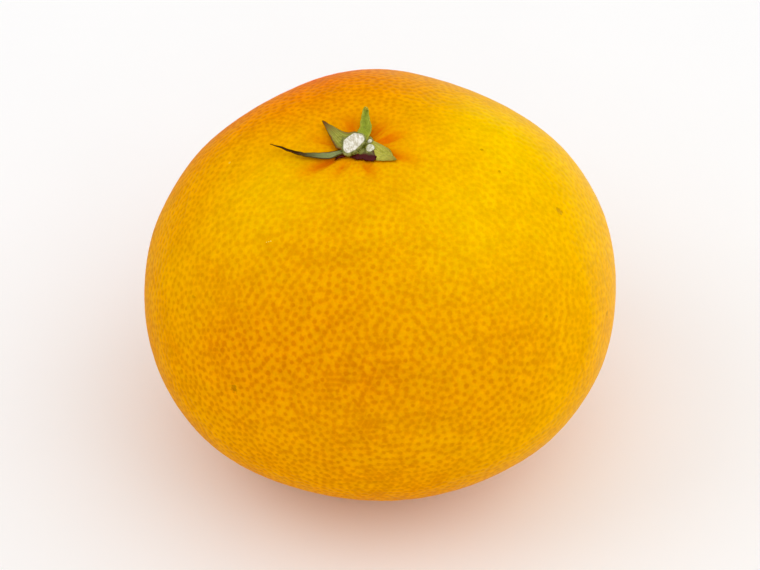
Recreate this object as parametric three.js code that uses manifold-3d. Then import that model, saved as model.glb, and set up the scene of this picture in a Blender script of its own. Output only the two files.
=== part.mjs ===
// A mandarin with its calyx and a short cut stalk, lying on a small flat spot of its base.
// Millimetres and degrees, +Z up. The resting flat is at z = 0 and the fruit is centred over the origin.
// The fruit is shaped upright around its core and then leans to -X, the left of a viewer at -Y.

import * as THREE from 'three';
import { mergeVertices } from 'three/addons/utils/BufferGeometryUtils.js';
import Module from 'manifold-3d';

// The body of the fruit around its core. Heights are counted from its widest level.
const body = {
  halfWidth: 33,
  crownRise: 27.8,
  baseDrop: 24.5,
  crownPower: 1.985,
  basePower: 2.1,
};
const lean = 7.2;

// Uneven growth around the core, as shares of the half width.
const lobes = [
  { count: 2, cosine: 0.0033, sine: -0.0094 },
  { count: 3, cosine: -0.0065, sine: -0.0075 },
  { count: 4, cosine: 0.0027, sine: 0.0013 },
  { count: 5, cosine: 0, sine: 0.0069 },
  { count: 6, cosine: -0.0059, sine: 0 },
];

// The ring of the shoulder stands a little prouder to the left and at the back of the stalk.
const shoulder = { radius: 19.3, width: 9.2, mean: 0.29, right: -0.87, back: 0.15, innerEdge: 9 };

// The hollow that the calyx sits in, and the folds that run out of it.
const stemHollow = { depth: 1.7, radius: 5.2 };
const folds = [
  { azimuth: 14, depth: 0.42, reach: 8.5, halfAngle: 8 },
  { azimuth: 47, depth: 0.3, reach: 7.5, halfAngle: 8 },
  { azimuth: 100, depth: 0.4, reach: 8, halfAngle: 10 },
  { azimuth: 158, depth: 0.3, reach: 8.5, halfAngle: 9 },
  { azimuth: 212, depth: 0.55, reach: 11, halfAngle: 9 },
  { azimuth: 243, depth: 0.3, reach: 8, halfAngle: 8 },
  { azimuth: 291, depth: 0.35, reach: 9, halfAngle: 9 },
  { azimuth: 336, depth: 0.5, reach: 11, halfAngle: 8 },
];
const foldStart = 2.4;

// The small flat that the fruit lies on, with a short soft bend around it, and the blossom-end hollow.
const restFlat = { trim: 1.0, blend: 0.16 };
const navel = { radius: 3.4, depth: 0.8 };

// The green button, a little behind the core, and its five sepals in plan, counted from the core.
const button = {
  centre: [0, 0.25],
  radius: 2.7,
  flatRadius: 2.2,
  thickness: 1.1,
  rimThickness: 0.65,
  sides: 30,
};
const gap = 0.3;
const bladeThickness = 0.66;
const sepals = [
  { name: 'far', root: [0.6, 0.6], bow: [1.7, 3.0], tip: [1.7, 5.2],
    width: 2.6, tipWidth: 0.4, rise: 1.5 },
  { name: 'farLeft', root: [-0.6, 0.4], bow: [-2.2, 1.9], tip: [-4.6, 4.3],
    width: 4.3, tipWidth: 0.4, rise: 0.5 },
  { name: 'left', root: [-1.2, -0.8], bow: [-6.6, -3.2], tip: [-11.5, 1.1],
    width: 1.5, tipWidth: 0.3, rise: 0.8, roll: 30 },
  { name: 'nearRight', root: [0.7, -0.3], bow: [2.7, -1.5], tip: [5.5, -3.6],
    width: 4.0, tipWidth: 0.4, rise: 0.25 },
  { name: 'nearBroken', root: [0.6, -0.5], bow: [0.5, -1.5], tip: [-0.1, -2.8],
    width: 5.0, tipWidth: 4.8, rise: 0.05 },
];
const bladeSteps = { along: 14, across: 4 };

// The cut stalk and the two small scars beside it.
const stalk = { centre: [-0.3, -0.8], topRadius: 1.65, rootRadius: 1.9, height: 1.15, sides: 26 };
const cutSlope = { towardFront: 0.34, towardLeft: 0.1 };
const stalkRidges = [
  { count: 2, share: 0.16, turn: 80 },
  { count: 3, share: 0.045, turn: 10 },
  { count: 5, share: 0.03, turn: 50 },
];
const scars = [
  { centre: [1.75, -0.95], radius: 0.64, height: 1.05, tiltRight: 18 },
  { centre: [1.65, 0.45], radius: 0.42, height: 0.85, tiltRight: 14 },
];

const fruitSides = 90;
const fruitRows = 48;
const poleDensity = 0.58; // how far the rows crowd towards the stalk and the base, 0 for even rows

const { PI, cos, sin, abs, min, max, exp, hypot, atan2, asin } = Math;
const radians = THREE.MathUtils.degToRad;
const { smoothstep, lerp } = THREE.MathUtils;

const wasm = await Module();
wasm.setup();

// Distance from the middle of the body to the smooth squat round, before any uneven growth.
function roundRadius(latitude) {
  const height = sin(latitude);
  const upper = smoothstep(height, -0.5, 0.5);
  const power = lerp(body.basePower, body.crownPower, upper);
  const reach = lerp(body.baseDrop, body.crownRise, upper);
  const across = cos(latitude) / body.halfWidth;
  const along = abs(height) / reach;
  return (across ** power + along ** power) ** (-1 / power);
}

function growth(latitude, azimuth) {
  const across = cos(latitude);
  let share = 1;
  for (const lobe of lobes) {
    const wave = lobe.cosine * cos(lobe.count * azimuth) + lobe.sine * sin(lobe.count * azimuth);
    share += across * across * wave;
  }
  return share;
}

function shoulderRise(radius, azimuth) {
  const height = shoulder.mean + shoulder.right * cos(azimuth) + shoulder.back * sin(azimuth);
  const ring = exp(-(((radius - shoulder.radius) / shoulder.width) ** 2));
  return height * ring * smoothstep(radius, 0, shoulder.innerEdge);
}

function turnBetween(first, second) {
  return abs(atan2(sin(first - second), cos(first - second)));
}

function foldDepth(radius, azimuth) {
  let depth = 0;
  for (const fold of folds) {
    const turn = turnBetween(azimuth, radians(fold.azimuth)) / radians(fold.halfAngle);
    const begins = smoothstep(radius, foldStart, foldStart + 2);
    const ends = 1 - smoothstep(radius, fold.reach * 0.45, fold.reach);
    depth += fold.depth * exp(-turn * turn) * begins * ends;
  }
  return depth;
}

function peelPoint(latitude, azimuth) {
  const reach = roundRadius(latitude) * growth(latitude, azimuth);
  const radius = reach * cos(latitude);
  let height = reach * sin(latitude);
  if (latitude > 0) {
    height += smoothstep(sin(latitude), 0, 0.6) * shoulderRise(radius, azimuth);
    height -= stemHollow.depth * exp(-((radius / stemHollow.radius) ** 2));
    height -= foldDepth(radius, azimuth);
  } else {
    height += navel.depth * (1 - smoothstep(radius, 0, navel.radius));
  }
  return new THREE.Vector3(radius * cos(azimuth), radius * sin(azimuth), height);
}

// The true vertical, seen from the leaning fruit, and the level of the resting flat along it.
const upright = new THREE.Vector3(sin(radians(lean)), 0, cos(radians(lean)));

function lowestLevel() {
  let lowest = 0;
  for (let step = 0; step <= 200; step += 1) {
    lowest = min(lowest, peelPoint((-PI / 2) * (step / 200), PI).dot(upright));
  }
  return lowest;
}

const flatLevel = lowestLevel() + restFlat.trim;

function settled(point) {
  const over = point.dot(upright) - flatLevel;
  let lift = 0;
  if (over <= -restFlat.blend) lift = -over;
  else if (over < restFlat.blend) lift = (over + restFlat.blend) ** 2 / (4 * restFlat.blend) - over;
  return point.addScaledVector(upright, lift);
}

const crown = peelPoint(PI / 2, 0).z;

// Height of the peel over a plan point near the stalk, in the upright fruit.
function crownHeight(x, y) {
  const azimuth = atan2(y, x);
  const radius = hypot(x, y);
  let low = PI / 5;
  let high = PI / 2;
  for (let step = 0; step < 26; step += 1) {
    const middle = (low + high) / 2;
    const reach = roundRadius(middle) * growth(middle, azimuth);
    if (reach * cos(middle) > radius) low = middle;
    else high = middle;
  }
  return peelPoint(high, azimuth).z;
}

function shared(geometry) {
  geometry.deleteAttribute('uv');
  geometry.deleteAttribute('normal');
  return mergeVertices(geometry, 1e-5);
}

function displaced(geometry, place) {
  const positions = geometry.attributes.position;
  const point = new THREE.Vector3();
  for (let index = 0; index < positions.count; index += 1) {
    point.fromBufferAttribute(positions, index);
    const moved = place(point);
    positions.setXYZ(index, moved.x, moved.y, moved.z);
  }
  return geometry;
}

function solidOf(geometry) {
  const mesh = new wasm.Mesh({
    numProp: 3,
    vertProperties: new Float32Array(geometry.attributes.position.array),
    triVerts: new Uint32Array(geometry.index.array),
  });
  return new wasm.Manifold(mesh);
}

function geometryOf(solid) {
  const mesh = solid.getMesh();
  const geometry = new THREE.BufferGeometry();
  geometry.setAttribute('position', new THREE.BufferAttribute(new Float32Array(mesh.vertProperties), 3));
  geometry.setIndex(new THREE.BufferAttribute(new Uint32Array(mesh.triVerts), 1));
  geometry.computeVertexNormals();
  return geometry;
}

function fruitGeometry() {
  const sphere = shared(new THREE.SphereGeometry(1, fruitSides, fruitRows));
  sphere.rotateX(PI / 2);
  const geometry = displaced(sphere, (point) => {
    const share = 0.5 - asin(max(-1, min(1, point.z))) / PI;
    const crowded = share - (poleDensity * sin(2 * PI * share)) / (2 * PI);
    return settled(peelPoint(PI * (0.5 - crowded), atan2(point.y, point.x)));
  });
  geometry.computeVertexNormals();
  return geometry;
}

function buttonSolid() {
  const floor = crown + gap;
  const rimFloor = crownHeight(button.radius, 0) + gap;
  const top = floor + button.thickness;
  const profile = [
    new THREE.Vector2(0, floor),
    new THREE.Vector2(button.radius, rimFloor),
    new THREE.Vector2(button.radius, rimFloor + button.rimThickness),
    new THREE.Vector2(button.flatRadius, top),
    new THREE.Vector2(0, top),
  ];
  const lathe = new THREE.LatheGeometry(profile, button.sides);
  lathe.rotateX(PI / 2);
  lathe.translate(...button.centre, 0);
  return solidOf(shared(lathe));
}

// Middle surface of a blade: along runs 0..1 from root to tip, across runs -0.5..0.5 over its width.
function bladeSurface(sepal, along, across) {
  const ends = [sepal.root, sepal.bow, sepal.tip].map(([x, y]) => new THREE.Vector2(x, y));
  const line = new THREE.QuadraticBezierCurve(...ends);
  const middle = line.getPoint(along);
  const forward = line.getTangent(along);
  const fullness = sin(PI * min(1, 0.42 + 0.58 * along));
  const width = lerp(sepal.tipWidth, sepal.width, fullness);
  const roll = radians(sepal.roll ?? 0) * along;
  const aside = across * width * cos(roll);
  const x = middle.x - forward.y * aside;
  const y = middle.y + forward.x * aside;
  const lift = gap + bladeThickness * 0.55 + sepal.rise * along * along + across * width * sin(roll) * 0.5;
  const ground = crownHeight(x, y);
  return new THREE.Vector3(x, y, ground + lift + 0.3 * abs(sin(roll)) * along);
}

function bladeSolid(sepal) {
  const box = shared(new THREE.BoxGeometry(1, 1, 1, bladeSteps.along, bladeSteps.across, 1));
  const nudge = 0.02;
  const blade = displaced(box, (point) => {
    const along = point.x + 0.5;
    const middle = bladeSurface(sepal, along, point.y);
    const ahead = bladeSurface(sepal, min(1, along + nudge), point.y);
    const behind = bladeSurface(sepal, max(0, along - nudge), point.y);
    const left = bladeSurface(sepal, along, point.y + nudge);
    const right = bladeSurface(sepal, along, point.y - nudge);
    const normal = ahead.sub(behind).cross(left.sub(right)).normalize();
    return middle.addScaledVector(normal, point.z * bladeThickness);
  });
  return solidOf(blade);
}

function calyxGeometry() {
  let solid = buttonSolid();
  for (const sepal of sepals) solid = solid.add(bladeSolid(sepal));
  return geometryOf(solid);
}

function stalkSolid(seat) {
  const { centre, topRadius, rootRadius, height, sides } = stalk;
  const cylinder = shared(new THREE.CylinderGeometry(topRadius, rootRadius, height, sides, 3));
  cylinder.rotateX(PI / 2);
  const shaped = displaced(cylinder, (point) => {
    const azimuth = atan2(point.y, point.x);
    let share = 1;
    for (const ridge of stalkRidges) share += ridge.share * cos(ridge.count * azimuth - radians(ridge.turn));
    const x = point.x * share;
    const y = point.y * share;
    const level = point.z / height + 0.5;
    const slope = cutSlope.towardFront * y + cutSlope.towardLeft * x;
    return new THREE.Vector3(centre[0] + x, centre[1] + y, seat + level * (height + slope));
  });
  return solidOf(shaped);
}

function scarSolid(scar, seat) {
  const cylinder = shared(new THREE.CylinderGeometry(scar.radius, scar.radius * 1.25, scar.height, 14, 1));
  cylinder.rotateX(PI / 2);
  const tilt = Math.tan(radians(scar.tiltRight));
  const shaped = displaced(cylinder, (point) => {
    const level = point.z / scar.height + 0.5;
    const x = scar.centre[0] + point.x + tilt * level * scar.height;
    return new THREE.Vector3(x, scar.centre[1] + point.y, seat + level * scar.height);
  });
  return solidOf(shaped);
}

function stemStubGeometry() {
  const seat = crown + gap + button.thickness + gap;
  let solid = stalkSolid(seat);
  for (const scar of scars) solid = solid.add(scarSolid(scar, seat));
  return geometryOf(solid);
}

function peelMaterial() {
  const color = new THREE.Color(0.95, 0.58, 0.02);
  return new THREE.MeshStandardMaterial({ color, roughness: 0.45, metalness: 0 });
}

function sepalMaterial() {
  const color = new THREE.Color(0.45, 0.46, 0.13);
  return new THREE.MeshStandardMaterial({ color, roughness: 0.75, metalness: 0 });
}

function cutStalkMaterial() {
  const color = new THREE.Color(0.8, 0.76, 0.55);
  return new THREE.MeshStandardMaterial({ color, roughness: 0.85, metalness: 0 });
}

function pieceOf(name, geometry, material) {
  const mesh = new THREE.Mesh(geometry, material);
  mesh.name = name;
  return mesh;
}

const mandarin = new THREE.Group();
mandarin.add(pieceOf('fruit', fruitGeometry(), peelMaterial()));
mandarin.add(pieceOf('calyx', calyxGeometry(), sepalMaterial()));
mandarin.add(pieceOf('stem_stub', stemStubGeometry(), cutStalkMaterial()));

mandarin.rotation.y = -radians(lean);

const bounds = new THREE.Box3().setFromObject(mandarin, true);
const middle = bounds.getCenter(new THREE.Vector3());
mandarin.position.set(-middle.x, -middle.y, -bounds.min.z);

export default mandarin;
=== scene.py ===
import math

import bpy
import numpy as np
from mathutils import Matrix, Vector
from mathutils.kdtree import KDTree


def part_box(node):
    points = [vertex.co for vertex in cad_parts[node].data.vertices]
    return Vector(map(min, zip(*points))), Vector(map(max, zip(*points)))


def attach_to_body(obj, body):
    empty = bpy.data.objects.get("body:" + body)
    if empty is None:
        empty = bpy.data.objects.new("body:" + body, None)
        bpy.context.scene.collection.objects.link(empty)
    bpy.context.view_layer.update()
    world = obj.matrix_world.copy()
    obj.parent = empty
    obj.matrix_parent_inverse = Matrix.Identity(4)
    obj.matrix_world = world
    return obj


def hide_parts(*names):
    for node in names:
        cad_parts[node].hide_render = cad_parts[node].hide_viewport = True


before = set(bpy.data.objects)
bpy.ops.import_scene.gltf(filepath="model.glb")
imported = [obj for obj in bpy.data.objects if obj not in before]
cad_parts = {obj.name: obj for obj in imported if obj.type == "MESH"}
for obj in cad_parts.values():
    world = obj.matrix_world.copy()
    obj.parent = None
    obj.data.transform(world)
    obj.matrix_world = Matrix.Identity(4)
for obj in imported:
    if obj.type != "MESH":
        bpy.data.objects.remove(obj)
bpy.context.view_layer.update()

mm = 0.001  # shapes are worked out in millimetres, upright around the core, then leaned and set down

# The fruit's form, with the same driving sizes as the solid.
fruitForm = {
    "halfWidth": 33.0,
    "crownRise": 27.8,
    "baseDrop": 24.5,
    "crownPower": 1.985,
    "basePower": 2.1,
    "lean": math.radians(7.2),
    "lobes": [(2, 0.0033, -0.0094), (3, -0.0065, -0.0075), (4, 0.0027, 0.0013), (5, 0.0, 0.0069),
              (6, -0.0059, 0.0)],
    "shoulderRadius": 19.3,
    "shoulderWidth": 9.2,
    "shoulderMean": 0.29,
    "shoulderRight": -0.87,
    "shoulderBack": 0.15,
    "shoulderInnerEdge": 9.0,
    "hollowDepth": 1.7,
    "hollowRadius": 5.2,
    "flatTrim": 1.0,
    "flatBlend": 0.16,
    "navelRadius": 3.4,
    "navelDepth": 0.8,
    "foldStart": 2.4,
    "foldRise": 2.0,
}

# Folds that run out from under the stalk: azimuth in degrees, depth, reach, half angle in degrees.
peelFolds = [
    (14, 0.42, 8.5, 8), (47, 0.3, 7.5, 8), (100, 0.4, 8.0, 10), (158, 0.3, 8.5, 9),
    (212, 0.55, 11.0, 9), (243, 0.3, 8.0, 8), (291, 0.35, 9.0, 9), (336, 0.5, 11.0, 8),
]

# The skin's own relief and its oil glands.
peelSkin = {
    "meshSteps": 100,             # splits along each edge of the starting icosahedron
    "crownCrowding": 0.45,        # how much finer the mesh is around the stalk
    "crownReach": 0.55,
    "poreSpacing": 1.16,
    "crownPoreSpacing": 0.95,
    "crownPores": (4.0, 15.0),    # distances from the stalk between which the spacing opens up
    "poreGap": 0.69,              # least distance of two glands, as a share of the spacing
    "poreRounds": 5,
    "poreSizes": (0.82, 1.18),
    "poreTones": (0.75, 1.0),
    "poreRadius": 0.385,
    "poreReach": 0.86,
    "crownFade": 0.22,            # how much fainter the dots are at the stalk
    "crownFades": (6.0, 20.0),
    "pitDepth": 0.06,
    "pitWidth": 0.34,
    "waves": [(11.0, 0.06), (2.4, 0.010)],  # length and height of the slow unevenness
    "seed": 7,
}


def smoothstep(value, low, high):
    share = np.clip((value - low) / (high - low), 0.0, 1.0)
    return share * share * (3.0 - 2.0 * share)


def mixed(first, second, share):
    return first + (second - first) * share


# Form of the fruit

def roundRadius(latitude):
    form = fruitForm
    height = np.sin(latitude)
    upper = smoothstep(height, -0.5, 0.5)
    power = mixed(form["basePower"], form["crownPower"], upper)
    reach = mixed(form["baseDrop"], form["crownRise"], upper)
    across = np.cos(latitude) / form["halfWidth"]
    along = np.abs(height) / reach
    return (across ** power + along ** power) ** (-1.0 / power)


def growth(latitude, azimuth):
    share = np.ones_like(latitude)
    for count, cosine, sine in fruitForm["lobes"]:
        wave = cosine * np.cos(count * azimuth) + sine * np.sin(count * azimuth)
        share += np.cos(latitude) ** 2 * wave
    return share


def shoulderRise(radius, azimuth):
    form = fruitForm
    height = form["shoulderMean"] + form["shoulderRight"] * np.cos(azimuth)
    height = height + form["shoulderBack"] * np.sin(azimuth)
    ring = np.exp(-((radius - form["shoulderRadius"]) / form["shoulderWidth"]) ** 2)
    return height * ring * smoothstep(radius, 0.0, form["shoulderInnerEdge"])


def foldDepth(radius, azimuth):
    depth = np.zeros_like(radius)
    start = fruitForm["foldStart"]
    for side, deep, reach, halfAngle in peelFolds:
        turn = azimuth - math.radians(side)
        turn = np.arctan2(np.sin(turn), np.cos(turn)) / math.radians(halfAngle)
        begins = smoothstep(radius, start, start + fruitForm["foldRise"])
        ends = 1.0 - smoothstep(radius, reach * 0.45, reach)
        depth += deep * np.exp(-turn * turn) * begins * ends
    return depth


def peelPoints(latitude, azimuth):
    form = fruitForm
    reach = roundRadius(latitude) * growth(latitude, azimuth)
    radius = reach * np.cos(latitude)
    height = reach * np.sin(latitude)
    raised = smoothstep(np.sin(latitude), 0.0, 0.6) * shoulderRise(radius, azimuth)
    raised -= form["hollowDepth"] * np.exp(-(radius / form["hollowRadius"]) ** 2)
    raised -= foldDepth(radius, azimuth)
    navel = form["navelDepth"] * (1.0 - smoothstep(radius, 0.0, form["navelRadius"]))
    height = height + np.where(latitude > 0, raised, navel)
    return np.stack([radius * np.cos(azimuth), radius * np.sin(azimuth), height], axis=1)


upright = np.array([math.sin(fruitForm["lean"]), 0.0, math.cos(fruitForm["lean"])])
baseArc = peelPoints(-np.linspace(0.0, math.pi / 2, 201), np.full(201, math.pi))
flatLevel = float((baseArc @ upright).min()) + fruitForm["flatTrim"]


def settled(points):
    blend = fruitForm["flatBlend"]
    over = points @ upright - flatLevel
    soft = (over + blend) ** 2 / (4.0 * blend) - over
    lift = np.where(over <= -blend, -over, np.where(over < blend, soft, 0.0))
    return points + lift[:, None] * upright


def crownHeight(x, y):
    azimuth = np.arctan2(y, x)
    radius = np.hypot(x, y)
    low = np.full_like(radius, math.pi / 5)
    high = np.full_like(radius, math.pi / 2)
    for _ in range(26):
        middle = (low + high) / 2
        outside = roundRadius(middle) * growth(middle, azimuth) * np.cos(middle) > radius
        low = np.where(outside, middle, low)
        high = np.where(outside, high, middle)
    return peelPoints(high, azimuth)[:, 2]


def leaned(points):
    angle = fruitForm["lean"]
    x = points[:, 0] * math.cos(angle) - points[:, 2] * math.sin(angle)
    z = points[:, 0] * math.sin(angle) + points[:, 2] * math.cos(angle)
    return np.stack([x, points[:, 1], z], axis=1)


def setDownShift():
    latitude, azimuth = np.meshgrid(np.linspace(-1.2, 1.2, 241), np.linspace(0, 2 * math.pi, 721))
    shape = leaned(settled(peelPoints(latitude.ravel(), azimuth.ravel())))
    middle = (shape.min(axis=0) + shape.max(axis=0)) / 2
    low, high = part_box("fruit")
    x, y = ((low[k] + high[k]) / 2 / mm - middle[k] for k in range(2))
    return np.array([x, y, -flatLevel])


standShift = setDownShift()


def placed(points):
    return (leaned(points) + standShift) * mm


# Meshes

def makeObject(name, points, faces, material):
    mesh = bpy.data.meshes.new(name)
    if isinstance(faces, np.ndarray):
        mesh.vertices.add(len(points))
        mesh.vertices.foreach_set("co", points.astype(np.float32).ravel())
        corners = faces.shape[1]
        mesh.loops.add(faces.size)
        mesh.loops.foreach_set("vertex_index", faces.astype(np.int32).ravel())
        mesh.polygons.add(len(faces))
        mesh.polygons.foreach_set("loop_start", np.arange(0, faces.size, corners, dtype=np.int32))
        mesh.update(calc_edges=True)
    else:
        mesh.from_pydata([tuple(map(float, p)) for p in points], [], faces)
    mesh.validate()
    mesh.polygons.foreach_set("use_smooth", [True] * len(mesh.polygons))
    mesh.materials.append(material)
    made = bpy.data.objects.new(name, mesh)
    bpy.context.scene.collection.objects.link(made)
    return made


def addNumbers(made, name, values):
    values = np.asarray(values, dtype=np.float32)
    kind = "FLOAT_VECTOR" if values.ndim == 2 else "FLOAT"
    layer = made.data.attributes.new(name, kind, "POINT")
    layer.data.foreach_set("vector" if values.ndim == 2 else "value", values.ravel())


def normalsAndAreas(points, faces):
    # For every point, the direction out of the surface and its share of the faces around it.
    a, b, c = (points[faces[:, k]] for k in range(3))
    across = np.cross(b - a, c - a)
    share = np.linalg.norm(across, axis=1) / 6.0
    out, area = np.zeros_like(points), np.zeros(len(points))
    for k in range(3):
        area += np.bincount(faces[:, k], share, len(points))
        for axis in range(3):
            out[:, axis] += np.bincount(faces[:, k], across[:, axis], len(points))
    return out / np.linalg.norm(out, axis=1)[:, None], area


def slowWaves(points, length, draws, count=24):
    # Smooth uneven field between about -1 and 1, from crossing waves of nearly the same length.
    field = np.zeros(len(points))
    for _ in range(count):
        way = draws.normal(size=3)
        way *= 2 * math.pi / (length * draws.uniform(0.75, 1.4)) / np.linalg.norm(way)
        field += np.sin(points @ way + draws.uniform(0, 2 * math.pi))
    return field / math.sqrt(count / 2) / 2


def wavesOf(points, waves, draws):
    return sum(amount * slowWaves(points, length, draws) for length, amount in waves)


def splitIcosahedron(steps):
    golden = (1 + math.sqrt(5)) / 2
    corners = np.array([(-1, golden, 0), (1, golden, 0), (-1, -golden, 0), (1, -golden, 0),
                        (0, -1, golden), (0, 1, golden), (0, -1, -golden), (0, 1, -golden),
                        (golden, 0, -1), (golden, 0, 1), (-golden, 0, -1), (-golden, 0, 1)], float)
    sides = [(0, 11, 5), (0, 5, 1), (0, 1, 7), (0, 7, 10), (0, 10, 11), (1, 5, 9), (5, 11, 4),
             (11, 10, 2), (10, 7, 6), (7, 1, 8), (3, 9, 4), (3, 4, 2), (3, 2, 6), (3, 6, 8),
             (3, 8, 9), (4, 9, 5), (2, 4, 11), (6, 2, 10), (8, 6, 7), (9, 8, 1)]
    rows, shares, patch = {}, [], []
    for i in range(steps + 1):
        for j in range(steps + 1 - i):
            rows[i, j] = len(shares)
            shares.append((steps - i - j, i, j))
    for i in range(steps):
        for j in range(steps - i):
            patch.append((rows[i, j], rows[i + 1, j], rows[i, j + 1]))
            if i + j < steps - 1:
                patch.append((rows[i + 1, j], rows[i + 1, j + 1], rows[i, j + 1]))
    shares = np.array(shares, float) / steps
    patch = np.array(patch)
    points = np.concatenate([shares @ corners[list(side)] for side in sides])
    faces = np.concatenate([patch + n * len(shares) for n in range(len(sides))])
    points /= np.linalg.norm(points, axis=1)[:, None]
    _, first, back = np.unique(np.round(points, 6), axis=0, return_index=True, return_inverse=True)
    return points[first], back.reshape(-1)[faces]


def kdTreeOf(points):
    tree = KDTree(len(points))
    for n, point in enumerate(points.tolist()):
        tree.insert(point, n)
    tree.balance()
    return tree


def nearestOf(points, centres):
    tree = kdTreeOf(centres)
    return np.array([tree.find(point)[1] for point in points.tolist()])


def scatterPores(points, areas, spacing, draws):
    # Centres are picked at random but never too close together, then moved to the middle of their own
    # skin a few times.
    tree = kdTreeOf(points)
    free = np.ones(len(points), bool)
    picked = []
    places = points.tolist()
    for n in draws.permutation(len(points)).tolist():
        if free[n]:
            picked.append(n)
            taken = tree.find_range(places[n], peelSkin["poreGap"] * float(spacing[n]))
            free[[found[1] for found in taken]] = False
    centres = points[picked]
    weight = areas / spacing ** 4
    for _ in range(peelSkin["poreRounds"]):
        owner = nearestOf(points, centres)
        total = np.maximum(np.bincount(owner, weight, len(centres)), 1e-12)
        middle = [np.bincount(owner, weight * points[:, k], len(centres)) / total for k in range(3)]
        centres = np.stack(middle, axis=1)
    return centres


# Soft patches of riper or paler skin, where the riper, darker skin is partly painted shade: direction in the
# leaning fruit, spread and depth of colour.
ripeAndShadedPatches = [
    ((0.83, 0.18, 0.53), 0.60, -0.38),
    ((-0.26, -0.81, 0.53), 0.40, 0.30),
    ((-0.17, 0.53, 0.83), 0.40, 0.34),
    ((0.47, -0.81, 0.34), 0.25, 0.16),
    ((0.78, -0.57, -0.28), 0.45, -0.25),
    ((-0.51, -0.23, 0.83), 0.25, -0.28),
    ((0.37, -0.42, 0.83), 0.25, -0.27),
    ((0.51, 0.23, 0.83), 0.25, -0.30),
    ((-0.63, -0.70, 0.34), 0.25, 0.19),
    ((0.10, -0.93, 0.34), 0.25, 0.13),
    ((-0.48, 0.53, 0.69), 0.40, 0.21),
    ((0.12, 0.36, 0.93), 0.25, 0.20),
    ((-0.80, 0.50, -0.10), 0.50, 0.20),
    ((0.35, 0.90, 0.20), 0.45, -0.15),
]
# Riper towards the bottom; the riper, darker skin is partly painted shade.
ripeAndShadedBase = {"level": 0.84, "byHeight": -0.36, "waves": [(24.0, 0.04), (8.0, 0.03)]}

# Red on the far left shoulder: partly a real blush of the skin, partly a painted reflection of red light.
blushAndReflectionForm = {
    "way": (-0.42, 0.80, 0.43), "spread": 0.56, "amount": 1.15, "waves": [(22.0, 0.3), (7.0, 0.12)],
}


def awayFrom(points, way, spread):
    # Squared distance between directions, counted in spreads.
    around = points / np.linalg.norm(points, axis=1)[:, None]
    middle = np.array(way) / np.linalg.norm(way)
    return ((around - middle) ** 2).sum(axis=1) / spread ** 2


def ripenessAndShadeOf(points, draws):
    ripeAndShaded = ripeAndShadedBase["level"] + ripeAndShadedBase["byHeight"] * points[:, 2] / np.linalg.norm(points, axis=1)
    ripeAndShaded += wavesOf(points, ripeAndShadedBase["waves"], draws)
    for way, spread, amount in ripeAndShadedPatches:
        ripeAndShaded += amount * np.exp(-awayFrom(points, way, spread))
    return np.clip(ripeAndShaded, 0.0, 1.0)


def blushAndReflectionOf(points, draws):
    away = awayFrom(points, blushAndReflectionForm["way"], blushAndReflectionForm["spread"])
    patchy = 1 + wavesOf(points, blushAndReflectionForm["waves"], draws)
    return np.clip(blushAndReflectionForm["amount"] * patchy * np.exp(-away * patchy), 0.0, 1.0)


# Fine wrinkles that run out from under the button, strongest on its right.
crownWrinkles = {
    "count": 34, "start": 2.6, "startBlend": 0.6, "end": 7.0, "endBlend": 3.5, "depth": 0.05,
    "towards": math.radians(15), "least": 0.35,
}


def wrinkleLines(radius, azimuth):
    form = crownWrinkles
    swing = form["count"] * azimuth + 2.0 * np.cos(3 * azimuth) + 1.3 * np.sin(5 * azimuth + radius * 0.5)
    lines = np.maximum(0, np.cos(swing)) ** 2
    reach = smoothstep(radius, form["start"] - form["startBlend"], form["start"] + form["startBlend"])
    reach = reach * (1 - smoothstep(radius, form["end"] - form["endBlend"], form["end"]))
    side = mixed(form["least"], 1.0, np.maximum(0, np.cos(azimuth - form["towards"])) ** 2)
    return lines * reach * side


# How strongly the hollow, its right side, the folds and the wrinkles take the deeper fold colour: painted
# shade in these recesses, partly also a deeper orange of the peel itself.
crownShadePaint = {
    "hollow": 0.45, "hollowRadius": 5.5, "shadedSide": 0.35, "towards": math.radians(25), "folds": 0.75,
    "fullFold": 0.5, "lines": 0.6,
}


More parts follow.
